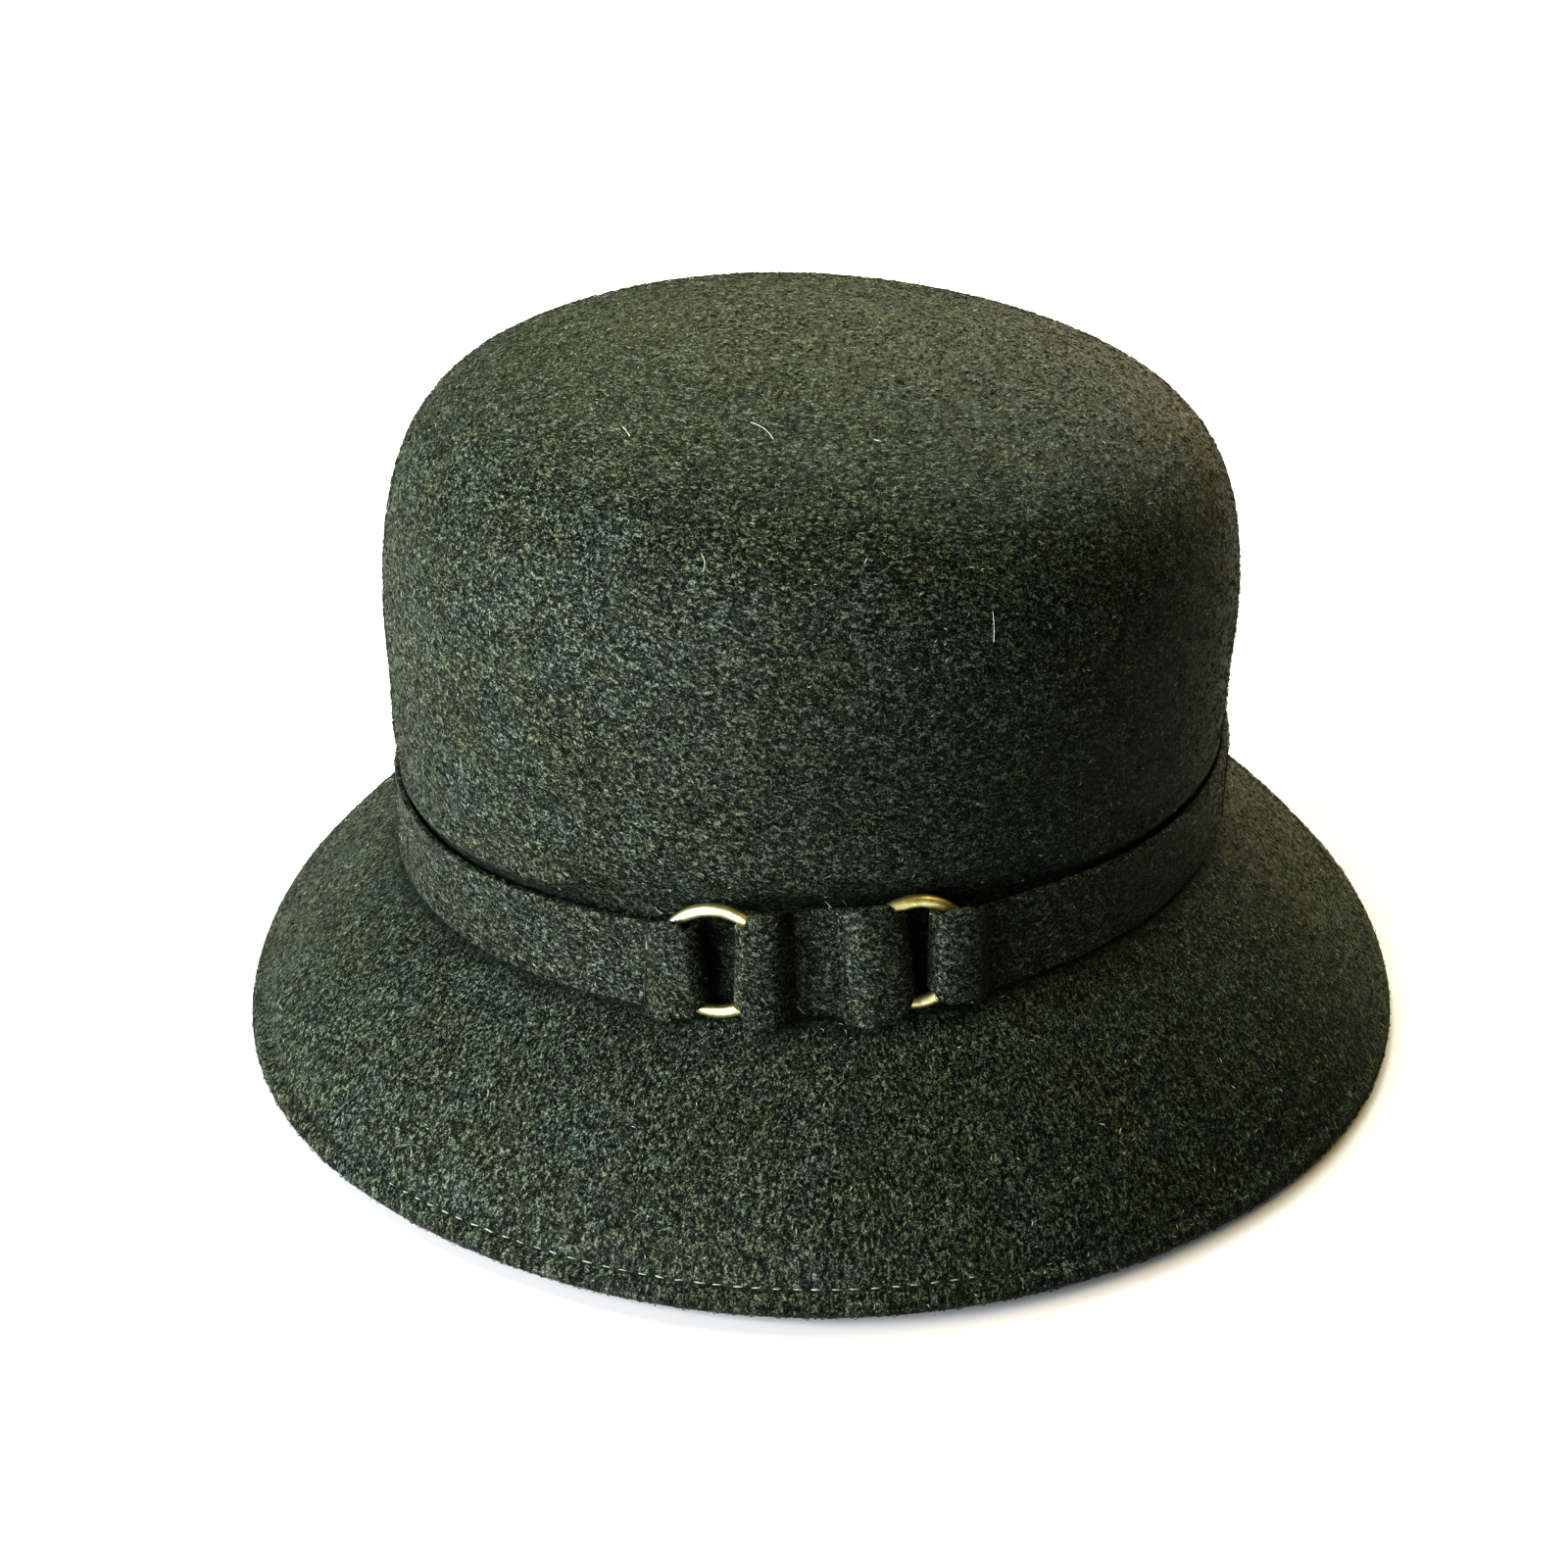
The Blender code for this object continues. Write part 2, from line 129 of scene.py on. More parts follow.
# Straps and rings
STRAP_ROUND = 0.00045                 # rounding of the straps' cut edges
STRAP_EDGE = math.radians(60)         # sharper edges than this are cut ones
LOOP_MIDDLE = 0.0075                  # from a ring's centre to the middle of a loop
LOOP_HALF = 0.0052                    # half of the loop's length over the wire
LOOP_SWELL = 0.0009                   # how far it swells out over the wire
LOOP_FRONT = 0.0015                   # this far out of the ring's plane it swells in full
LOOP_ROUND = 0.5                      # share that it swells less at its top and foot
LOOP_HANG = 0.20                      # share that a loop's lower half is longer
LOOP_ENDS = (0.0035, 0.0155)          # where that begins and ends, from a ring's centre
LOOP_EASE = (0.001, 0.0045)           # lengths over which it sets in and dies out
FOLD_FULL = 0.009                     # from a ring's centre, where a fold moves in whole
FOLD_GONE = 0.015                     # and where it doesn't move
# How far a fold leans in towards the ring's centre, at mid-height and more at its foot: left and right loop
FOLD_IN = ((0.0018, 0.0011), (0.0002, 0.0007))
TAB_RISE = 0.15                       # share that the tab's upper half is higher than its solid
LANDING = (0.0095, 0.0200)            # from a ring's centre, where a loop comes down to the felt
LANDING_DEPTH = 0.02                  # to either side of the ring's plane
LANDING_SOFTNESS = 8                  # rounds of smoothing there
WIRE_FULL = 1.2                       # gives the wire its roundness back, which subdivision draws in

# Stitches
STITCH_PITCH = 0.0035
STITCH_LENGTH = 0.0020
STITCH_VARIES = (0.85, 1.15)          # shares of that length
STITCH_STRAY = 0.06                   # how far its way strays from the line
STITCH_DEPTH = (-0.00010, 0.00008)    # how far it is drawn in or stands up
STITCH_SINK = 0.00028                 # deeper, where the line has sunk into the nap
STITCH_BOW = 0.10                     # share of its length that its ends dive in
THREAD = 0.00032                      # its thickness
THREAD_SEAT = 0.25                    # share of that by which its middle stands above the felt
PROBE = (0.05, -0.02, 0.1)            # heights over and under the rim to look for its felt from, and how far
PROBE_STEP = 0.25                     # degrees
BARE_LINE = 0.00038                   # no nap this close to the line of stitches
# Sewn ends of the straps: top and bottom in the photograph's pixels
SEAMS = (((661, 943), (658, 1020)), ((862, 940), (860, 1032)))
# so many that they overlap in one dark line: the thread, and painted shade of the crease at each sewn end
SEAM_STITCHES = 12

# Loose hairs and lint, by three points each in the photograph's pixels
HAIR = 0.00015                        # its thickness, a little coarser than real to show
HAIR_RISE = 0.0004                    # above the felt
LOOSE_HAIRS = (
    ((766, 433), (782, 437), (789, 450)),
    ((842, 918), (850, 926), (859, 936)),
    ((860, 917), (862, 919), (864, 923)),
    ((669, 924), (672, 929), (677, 931)),
    ((813, 1026), (817, 1030), (821, 1034)),
    ((664, 934), (660, 950), (662, 968)),
    ((499, 1113), (500, 1116), (498, 1120)),
    ((421, 1174), (422, 1177), (420, 1181)),
    ((636, 438), (640, 441), (643, 447)),
    ((716, 566), (722, 574), (718, 584)),
    ((1012, 624), (1014, 639), (1013, 655)),
    ((892, 450), (895, 452), (899, 452)),
    ((1053, 857), (1055, 858), (1058, 860)),
)

# Nap
COMB_DRAW = 0.50                      # scale of the crown's pattern along its nap, which draws it out
BRUSH_DRAW = 0.75                     # and of the brim's
BRIM_REACH = 0.11                     # from the hat's middle, where the brim's strokes are as wide as drawn
COMB_FALL = 0.20                      # how far the crown's nap falls towards +X
NAP_LENGTH = (0.0008, 0.0019)
# A wool fibre is 0.03 mm thick, which is too fine to show, so each one laid stands for a small lock of them
NAP_WIDTH = (0.00011, 0.00022)
NAP_LIFT = (0.05, 0.12)               # angle from the felt: mean and spread
NAP_LEVEL = 0.05                      # felt whose normal leans less than this is combed along X
LIGHTNESS = (0.46, 0.17)              # mean and spread, as places on the shades' ramps
PALE_FIBRES = (0.02, 0.97)            # share of the fibres that are pale, and their lightness
LIGHT_PATCH = 0.012                   # from one lighter patch to the next
WARMTH = (0.42, 0.26, 0.20)           # share of olive: mean, spread, and how far patches stray
WARM_PATCH = 0.030
OUTER_NAP = 0.85                      # fibres on each square millimetre
INNER_NAP = 0.10
PALETTE = 32                          # cells along each side of the fibres' palette map
CELL = ((0.2, 0.2), (0.8, 0.2), (0.5, 0.8))   # corners of a fibre's face in its cell
BAND_DEPTH = 0.004                    # felt this close behind a strap gets no nap
STRAP_CLEAR = 0.0009                  # nor does the felt this close beside it
RIM_CLEAR = 0.0012                    # nor the felt this close to the floor
SEED = 11

# Studio: an area light's name, azimuth, elevation, size, power and colour
LIGHTS = (
    ("left_window", -66, 14, 0.9, 31.0, "#f6f8ff"),
    ("front_window", -30, 14, 0.9, 9.5, "#f6f8ff"),
    ("left_card", -45, 38, 0.9, 6.5, "#ffffff"),
    ("back_left_window", -150, 60, 0.9, 8.0, "#dff5ff"),
    ("back_right_window", 150, 35, 0.9, 10.0, "#e2f3ff"),
    ("back_lamp", 180, 38, 0.9, 11.0, "#fff0b4"),
    ("right_lamp", 100, 60, 0.9, 5.5, "#ffe08c"),
    ("low_lamp", 150, 12, 0.9, 4.5, "#ffd68c"),
    ("front_card", -20, 6, 1.4, 30.0, "#ffffff"),
)
LIGHT_DISTANCE = 1.5
ROOM_LIGHT = 0.01
FLOOR_RADIUS = 1.4
BACKDROP_RADIUS = 3.0


def linear(code):
    """A colour written as sRGB hex, as linear red, green, blue and alpha."""
    shares = [int(code[k:k + 2], 16) / 255 for k in (1, 3, 5)]
    return (*[s / 12.92 if s <= 0.04045 else ((s + 0.055) / 1.055) ** 2.4 for s in shares], 1.0)


def add(tree, kind, inputs=None, stops=None, **settings):
    """Adds a node with its settings. Each input is a value or the socket that it is linked from."""
    node = tree.nodes.new(kind)
    for name, value in settings.items():
        setattr(node, name, value)
    for name, value in (inputs or {}).items():
        if isinstance(value, bpy.types.NodeSocket):
            tree.links.new(value, node.inputs[name])
        else:
            node.inputs[name].default_value = value
    if stops:
        ramp = node.color_ramp.elements
        while len(ramp) < len(stops):
            ramp.new(1.0)
        for element, (place, code) in zip(ramp, stops):
            element.position = place
            element.color = linear(code)
    return node


def new_material(name):
    material = bpy.data.materials.new(name)
    material.use_nodes = True
    tree = material.node_tree
    tree.nodes.clear()
    shader = add(tree, "ShaderNodeBsdfPrincipled")
    add(tree, "ShaderNodeOutputMaterial", {"Surface": shader.outputs["BSDF"]})
    return material, tree, shader


def melange_felt(name, shades, has_brim):
    """Blocked melange wool felt: matt and mottled, short teal, sage and olive fibres over near-black gaps.

    shades are sRGB hex: the gaps, the plain wool, the lit fibres, and the plain and lit fibres of olive wool.
    The near-black gaps are dark wool with painted shade between the fibres, and the lit fibres paler wool
    with a painted highlight.
    With has_brim, the nap below the neck is brushed outwards. A wool fibre is 0.03 mm thick, which is too
    fine to show, so the patterns are drawn as small locks of them.
    """
    gap, plain, lit, olive_plain, olive_lit = shades
    material, tree, shader = new_material(name)
    place = add(tree, "ShaderNodeTexCoord").outputs["Object"]
    flat = add(tree, "ShaderNodeVectorMath", {0: place, 1: (1.0, 1.0, 0.0)}, operation="MULTIPLY")
    reach = add(tree, "ShaderNodeVectorMath", {0: flat.outputs[0]}, operation="LENGTH")
    strokes_of = {"Scale": 1 / 0.00065, "Detail": 2.0, "Roughness": 0.7, "Distortion": 0.8}
    # The crown's nap is combed round the hat: strokes 0.3 mm thick and 0.65 mm long, falling towards +X
    fall = add(tree, "ShaderNodeVectorMath", {0: place, 1: (COMB_FALL, 0.0, 0.0)}, operation="DOT_PRODUCT")
    fallen = add(tree, "ShaderNodeCombineXYZ", {"Z": fall.outputs["Value"]})
    round_hat = add(tree, "ShaderNodeVectorMath", {
        0: place, 1: (COMB_DRAW, COMB_DRAW, 1.0), 2: fallen.outputs[0],
    }, operation="MULTIPLY_ADD")
    combed = add(tree, "ShaderNodeTexNoise", {
        "Vector": round_hat.outputs[0], "W": reach.outputs["Value"], **strokes_of,
    }, noise_dimensions="4D")
    strokes = combed.outputs["Fac"]
    if has_brim:
        # The brim's is brushed out from the neck, in strokes that are a little shorter
        outward = add(tree, "ShaderNodeVectorMath", {0: flat.outputs[0]}, operation="NORMALIZE")
        spread = add(tree, "ShaderNodeVectorMath", {
            0: outward.outputs[0], "Scale": BRIM_REACH,
        }, operation="SCALE")
        down_brim = add(tree, "ShaderNodeMath", {
            0: reach.outputs["Value"], 1: BRUSH_DRAW,
        }, operation="MULTIPLY")
        brushed = add(tree, "ShaderNodeTexNoise", {
            "Vector": spread.outputs[0], "W": down_brim.outputs[0], **strokes_of,
        }, noise_dimensions="4D")
        level = add(tree, "ShaderNodeVectorMath", {0: place, 1: NECK_PLANE}, operation="DOT_PRODUCT")
        crown = add(tree, "ShaderNodeMapRange", {
            "Value": level.outputs["Value"], "From Min": NECK_LEVEL[0], "From Max": NECK_LEVEL[1],
        })
        strokes = add(tree, "ShaderNodeMix", {
            0: crown.outputs[0], 2: brushed.outputs["Fac"], 3: combed.outputs["Fac"],
        }).outputs[0]
    # Matted fibres: curls and gaps 0.25 mm across, in no direction
    matted = add(tree, "ShaderNodeTexNoise", {
        "Vector": place, "Scale": 1 / 0.0005, "Detail": 2.0, "Roughness": 0.7, "Distortion": 1.5,
    })
    plain_weave = add(tree, "ShaderNodeMix", {0: 0.55, 2: strokes, 3: matted.outputs["Fac"]})
    # Curled fibres on top: the thin lines along which a soft noise crosses its middle, 0.2 mm wide, lighter
    # as paler wool and as a painted highlight on the fibres that lie on top
    swirl = add(tree, "ShaderNodeTexNoise", {
        "Vector": place, "Scale": 1 / 0.0011, "Detail": 1.0, "Distortion": 1.2,
    })
    off_line = add(tree, "ShaderNodeMath", {0: swirl.outputs["Fac"], 1: 0.5}, operation="SUBTRACT")
    from_line = add(tree, "ShaderNodeMath", {0: off_line.outputs[0]}, operation="ABSOLUTE")
    curls = add(tree, "ShaderNodeMapRange", {
        "Value": from_line.outputs[0], "From Max": 0.08, "To Min": 0.045, "To Max": -0.015,
    })
    weave = add(tree, "ShaderNodeMath", {0: plain_weave.outputs[0], 1: curls.outputs[0]}, operation="ADD")
    # Batches of wool: soft patches 10 mm across drift from teal to olive
    clouds = add(tree, "ShaderNodeTexNoise", {
        "Vector": place, "Scale": 1 / 0.013, "Detail": 3.0, "Roughness": 0.6,
    })
    drift = add(tree, "ShaderNodeMapRange", {
        "Value": clouds.outputs["Fac"], "From Min": 0.28, "From Max": 0.76,
    })
    # From the gaps' painted shade up to the lit fibres' painted highlight
    teal = add(tree, "ShaderNodeValToRGB", {"Fac": weave.outputs[0]}, stops=(
        (0.44, gap), (0.495, plain), (0.55, lit), (0.62, "#828f80"),
    ))
    olive = add(tree, "ShaderNodeValToRGB", {"Fac": weave.outputs[0]}, stops=(
        (0.44, gap), (0.495, olive_plain), (0.55, olive_lit), (0.62, "#81896b"),
    ))
    wool = add(tree, "ShaderNodeMix", {
        0: drift.outputs[0], 6: teal.outputs[0], 7: olive.outputs[0],
    }, data_type="RGBA")
    # Painted shade: the felt is darkened towards a dark green in the stitches' groove and in the crevices
    # beside and behind the straps
    painted_crease_shade = add(tree, "ShaderNodeAttribute", attribute_name="painted_crease_shade")
    colour = add(tree, "ShaderNodeMix", {
        0: painted_crease_shade.outputs["Fac"], 6: wool.outputs[2], 7: linear("#131b18"),
    }, data_type="RGBA")
    tree.links.new(colour.outputs[2], shader.inputs["Base Color"])
    bump = add(tree, "ShaderNodeBump", {"Height": weave.outputs[0], "Strength": 0.6, "Distance": 0.0004})
    tree.links.new(bump.outputs[0], shader.inputs["Normal"])
    shader.inputs["Roughness"].default_value = 0.55
    shader.inputs["Specular IOR Level"].default_value = 0.08
    shader.inputs["Sheen Weight"].default_value = 0.06
    shader.inputs["Sheen Roughness"].default_value = 0.5
    shader.inputs["Sheen Tint"].default_value = linear("#b7c2a8")
    return material


def wool_fibres():
    """Wool fibres that stand off the felt and give it a soft edge and a pile.

    Each takes its shade from its cell of the palette: dark to pale across it, and teal to olive up it.
    """
    material, tree, shader = new_material("wool_nap_fibres")
    cell = add(tree, "ShaderNodeUVMap", uv_map="OFBake")
    split = add(tree, "ShaderNodeSeparateXYZ", {0: cell.outputs[0]})
    teal = add(tree, "ShaderNodeValToRGB", {"Fac": split.outputs[0]}, stops=(
        (0.0, "#050806"), (0.35, "#18201c"), (0.7, "#3f4a44"), (0.93, "#6f7d72"), (1.0, "#cdd8c8"),
    ))
    olive = add(tree, "ShaderNodeValToRGB", {"Fac": split.outputs[0]}, stops=(
        (0.0, "#060704"), (0.35, "#1e2112"), (0.7, "#474832"), (0.93, "#747659"), (1.0, "#d2d2ae"),
    ))
    colour = add(tree, "ShaderNodeMix", {
        0: split.outputs[1], 6: teal.outputs[0], 7: olive.outputs[0],
    }, data_type="RGBA")
    tree.links.new(colour.outputs[2], shader.inputs["Base Color"])
    shader.inputs["Roughness"].default_value = 0.55
    shader.inputs["Specular IOR Level"].default_value = 0.15
    return material


def antique_brass():
    """Antiqued brass wire: an olive patina, rubbed back to pale gold in patches, and finely scratched."""
    material, tree, shader = new_material("antique_brass_wire")
    place = add(tree, "ShaderNodeTexCoord").outputs["Object"]
    patina = add(tree, "ShaderNodeTexNoise", {
        "Vector": place, "Scale": 1 / 0.004, "Detail": 4.0, "Roughness": 0.6,
    })
    colour = add(tree, "ShaderNodeValToRGB", {"Fac": patina.outputs["Fac"]}, stops=(
        (0.30, "#8f8550"), (0.48, "#cec68d"), (0.62, "#eeecc8"),
    ))
    rough = add(tree, "ShaderNodeMapRange", {"Value": patina.outputs["Fac"], "To Min": 0.50, "To Max": 0.36})
    tree.links.new(colour.outputs[0], shader.inputs["Base Color"])
    tree.links.new(rough.outputs[0], shader.inputs["Roughness"])
    scratches = add(tree, "ShaderNodeTexNoise", {"Vector": place, "Scale": 1 / 0.0006, "Detail": 2.0})
    bump = add(tree, "ShaderNodeBump", {
        "Height": scratches.outputs["Fac"], "Strength": 0.15, "Distance": 0.0001,
    })
    tree.links.new(bump.outputs[0], shader.inputs["Normal"])
    shader.inputs["Metallic"].default_value = 1.0
    return material


def sewing_thread(name, dark, light):
    """Twisted sewing thread, or a loose hair: a soft gloss, and light and dark ply in patches of 0.35 mm."""
    material, tree, shader = new_material(name)
    place = add(tree, "ShaderNodeTexCoord").outputs["Object"]
    ply = add(tree, "ShaderNodeTexNoise", {"Vector": place, "Scale": 1 / 0.00035, "Detail": 1.0})
    colour = add(tree, "ShaderNodeValToRGB", {"Fac": ply.outputs["Fac"]}, stops=((0.35, dark), (0.65, light)))
    tree.links.new(colour.outputs[0], shader.inputs["Base Color"])
    bump = add(tree, "ShaderNodeBump", {"Height": ply.outputs["Fac"], "Strength": 0.4, "Distance": 0.0001})
    tree.links.new(bump.outputs[0], shader.inputs["Normal"])
    shader.inputs["Roughness"].default_value = 0.6
    return material


def cad_copy(node):
    """A node's solid, its triangles merged and joined in pairs."""
    bm = bmesh.new()
    bm.from_mesh(frame["nodes"][node].data)
    bmesh.ops.remove_doubles(bm, verts=bm.verts, dist=WELD)
    bmesh.ops.join_triangles(
        bm, faces=bm.faces, angle_face_threshold=math.radians(50), angle_shape_threshold=math.radians(70),
    )
    return bm


def drop_shading(mesh):
    """Removes the facets' own shading, which the solids bring with them."""
    for name in ("custom_normal", "sharp_face", "sharp_edge"):
        if name in mesh.attributes:
            mesh.attributes.remove(mesh.attributes[name])


def place_piece(name, mesh, material, slot, *nodes):
    """Puts a finished mesh in the scene, on the hat's one body, in the place of the nodes it stands for."""
    drop_shading(mesh)
    mesh.name = name
    mesh.materials.clear()
    mesh.materials.append(material)
    mesh.shade_smooth()
    piece = bpy.data.objects.new(name, mesh)
    bpy.context.scene.collection.objects.link(piece)
    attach(piece, "root")
    if nodes:
        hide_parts(*nodes)
    return piece


def finished_mesh(data, levels=0):
    """The mesh that Blender makes of a mesh or a curve, rounded by so many levels of Subdivision Surface."""
    holder = bpy.data.objects.new("holder", data)
    bpy.context.scene.collection.objects.link(holder)
    if levels:
        rounded = holder.modifiers.new("Rounded", "SUBSURF")
        rounded.levels = rounded.render_levels = levels
    graph = bpy.context.evaluated_depsgraph_get()
    mesh = bpy.data.meshes.new_from_object(holder.evaluated_get(graph))
    bpy.data.batch_remove([holder, data])
    return mesh


def subdivided(bm):
    """The bmesh as a mesh, rounded by two levels of Subdivision Surface."""
    rough = bpy.data.meshes.new("rough")
    bm.to_mesh(rough)
    bm.free()
    drop_shading(rough)
    return finished_mesh(rough, 2)


def vertex_vectors(mesh, kind):
    """The mesh's vertices' "co" or "normal", a row each."""
    flat = np.empty(len(mesh.vertices) * 3, np.float32)
    mesh.vertices.foreach_get(kind, flat)
    return flat.reshape(-1, 3).astype(float)


def positions(mesh):
    return vertex_vectors(mesh, "co")


def triangles(mesh):
    """Corners of each triangle, and its unit normal and area."""
    mesh.calc_loop_triangles()
    flat = np.empty(len(mesh.loop_triangles) * 3, np.int32)
    mesh.loop_triangles.foreach_get("vertices", flat)
    corners = positions(mesh)[flat.reshape(-1, 3)]
    cross = np.cross(corners[:, 1] - corners[:, 0], corners[:, 2] - corners[:, 0])
    length = np.linalg.norm(cross, axis=1)
    return corners, cross / np.maximum(length, 1e-15)[:, None], length / 2


def move_to(mesh, points):
    mesh.vertices.foreach_set("co", points.astype(np.float32).ravel())


def smooth_share(share):
    share = np.clip(share, 0, 1)
    return share * share * (3 - 2 * share)


def tree_of(*meshes):
    """A search tree over the faces of several meshes."""
    bm = bmesh.new()
    for mesh in meshes:
        bm.from_mesh(mesh)
    tree = BVHTree.FromBMesh(bm)
    bm.free()
    return tree


def distances(tree, points, reach):
    """How far each point is from a tree's faces, or the reach where it is farther."""
    found = [tree.find_nearest(Vector(point), reach)[3] for point in points]
    return np.array([reach if distance is None else distance for distance in found])


def ways_to(tree, points, reach):
    """The way from each point to the nearest place on a tree's faces, or straight down beyond the reach."""
    found = [tree.find_nearest(Vector(point), reach)[0] for point in points]
    far = Vector((0.0, 0.0, -reach))
    return np.array([far if place is None else place - Vector(point) for place, point in zip(found, points)])


def soft_noise(points, size, seed):
    """Smooth noise of about -1 to 1, a random value at each corner of a grid and eased between them."""
    lattice = np.random.default_rng(seed).uniform(-1, 1, (LATTICE, LATTICE, LATTICE))
    scaled = points / size + LATTICE_MIDDLE
    cell = np.floor(scaled).astype(int)
    share = smooth_share(scaled - cell)
    total = np.zeros(len(points))
    for corner in np.ndindex(2, 2, 2):
        weight = np.prod(np.where(corner, share, 1 - share), axis=1)
        total += weight * lattice[tuple(((cell + corner) % LATTICE).T)]
    return total


def oval_bearings(points):
    """Angle from the front and share of the reach, on the plain oval that fits the rim's box."""
    half = (cad_high - cad_low) / 2
    across, deep = points[:, 0] / half.x, -points[:, 1] / half.y
    return np.arctan2(across, deep), np.hypot(across, deep)


def rim_table(points):
    """The rim's share of the plain oval, at the angle of each of the hood's segments."""
    angle, share = oval_bearings(points)
    steps = np.round(angle / SEGMENT)
    near = np.abs(angle - steps * SEGMENT) < SEGMENT / 20
    found = sorted(set(steps[near]))
    return np.array(found) * SEGMENT, np.array([share[near & (steps == step)].max() for step in found])


def from_rim(points, rim):
    """How far each point lies in from the rim's edge."""
    half = (cad_high - cad_low) / 2
    angle, share = oval_bearings(points)
    radius = np.hypot(half.x * np.sin(angle), half.y * np.cos(angle))
    return (np.interp(angle, *rim, period=2 * math.pi) - share) * radius


def hem_shows(angle, plain=HEM_PLAIN):
    """How plainly the line of stitches shows at an angle from the front: elsewhere it sinks into the nap."""
    return 1 - HEM_SUNK * smooth_share((np.abs(angle - HEM_FACES) - plain) / HEM_FADE)


def outer(points, facing):
    """True where the felt faces away from the hollow."""
    return ((points - np.array(INSIDE)) * facing).sum(axis=1) > 0


def beside_straps(points, facing):
    """True for each point of the hood's outer side at the straps' height."""
    return outer(points, facing) & (points[:, 2] > TRIM_LEVELS[0]) & (points[:, 2] < TRIM_LEVELS[1])


def roll_against(straps, points, facing, angle):
    """How far the felt rolls out against the band behind it or beside it, and its gap to the straps then."""
    ways = ways_to(straps, points, STRAP_REACH)
    before = (ways * facing).sum(axis=1)
    squarely = before / np.linalg.norm(ways, axis=1)
    behind = smooth_share((squarely - BEHIND[0]) / (BEHIND[1] - BEHIND[0]))
    aside = smooth_share((np.abs(angle) - TRIM_ENDS[0]) / (TRIM_ENDS[1] - TRIM_ENDS[0]))
    rolled = aside * behind * np.maximum(before - BAND_CLEAR, 0)
    return rolled, np.linalg.norm(ways - facing * rolled[:, None], axis=1)


def make_hood(material, straps):
    """The blocked felt: its brim arched in front, its hem pressed, its crown rolled against the band."""
    bm = cad_copy("felt_hood")
    rim = rim_table(np.array([v.co for v in bm.verts]))
    for edge in bm.edges:
        ends = np.array([v.co for v in edge.verts])
        depth = from_rim(ends, rim)
        edge.tag = bool(abs(depth[0] - depth[1]) > HEM_EDGE and (depth < HEM_BAND).all())
    bmesh.ops.subdivide_edges(bm, edges=[e for e in bm.edges if e.tag], cuts=HEM_CUTS, use_grid_fill=True)
    mesh = subdivided(bm)
    points, facing = positions(mesh), vertex_vectors(mesh, "normal")
    depth = from_rim(points, rim)
    angle = oval_bearings(points)[0]
    rise = points[:, 2] / (NECK_LEVEL[0] - points[:, :2] @ np.array(NECK_PLANE[:2]))
    ends = smooth_share((SWELL_ENDS[1] - np.abs(angle)) / (SWELL_ENDS[1] - SWELL_ENDS[0]))
    swell = BRIM_SWELL * ends * np.sin(math.pi * np.clip(rise, 0, 1))
    away = points * (1, 1, 0) / np.linalg.norm(points[:, :2], axis=1)[:, None]
    arched = swell[:, None] * (SWELL_WAY[0] * away + np.array((0.0, 0.0, SWELL_WAY[1])))
    low = points[:, 2] < HEM_HEIGHT
    groove = low * hem_shows(angle, 2 * HEM_PLAIN) * np.exp(-((depth - STITCH_LINE) / GROOVE_WIDTH) ** 2)
    roll = low * (facing[:, 2] > 0) * np.exp(-((depth - HEM_ROLL[0]) / HEM_ROLL[1]) ** 2)
    near = beside_straps(points, facing)
    gap = np.full(len(points), 1.0)
    rolled, gap[near] = roll_against(straps, points[near], facing[near], angle[near])
    points[near] += facing[near] * rolled[:, None]
    beside = np.exp(-(gap / TUCK_REACH) ** 2)
    shade = np.exp(-(gap / SHADE_REACH) ** 2)
    stand = np.clip(points[:, 2] / WAVE_START, 0, 1)
    shift = -HEM_PRESS * roll - GROOVE_DEPTH * groove - TUCK_DEPTH * beside
    shift += WAVE_HEIGHT * stand * soft_noise(points, WAVE_SIZE, SEED)
    points += facing * shift[:, None] + arched
    for place, reach, way in SETTLED:
        share = np.exp(-((points - np.array(place)) ** 2).sum(axis=1) / (2 * reach ** 2))
        points += share[:, None] * np.array(way)
    move_to(mesh, points)
    # Painted shade, a share for each vertex: in the stitches' groove, beside the straps' edges, and a little
    # further from them
    painted_crease_shade = mesh.attributes.new("painted_crease_shade", "FLOAT", "POINT")
    pressed = np.maximum(GROOVE_PAINTED_SHADE * groove, np.maximum(TUCK_PAINTED_SHADE * beside, SHADE_DARK * shade))
    painted_crease_shade.data.foreach_set("value", pressed.astype(np.float32))
    return place_piece("blocked_hood", mesh, material, "hood_felt", "felt_hood"), rim


def ring_frame(node):
    """A ring's centre, the radius of its wire's middle, and the ways round the hat, up and out."""
    points = positions(frame["nodes"][node].data)
    centre = points.mean(axis=0)
    way = np.linalg.svd(points - centre)[2][2]
    out = -way * np.sign(way[1])
    up = np.array((0.0, 0.0, 1.0)) - out * out[2]
    up /= np.linalg.norm(up)
    flat = points - centre - ((points - centre) @ out)[:, None] * out
    return centre, np.linalg.norm(flat, axis=1).mean(), np.cross(up, out), up, out


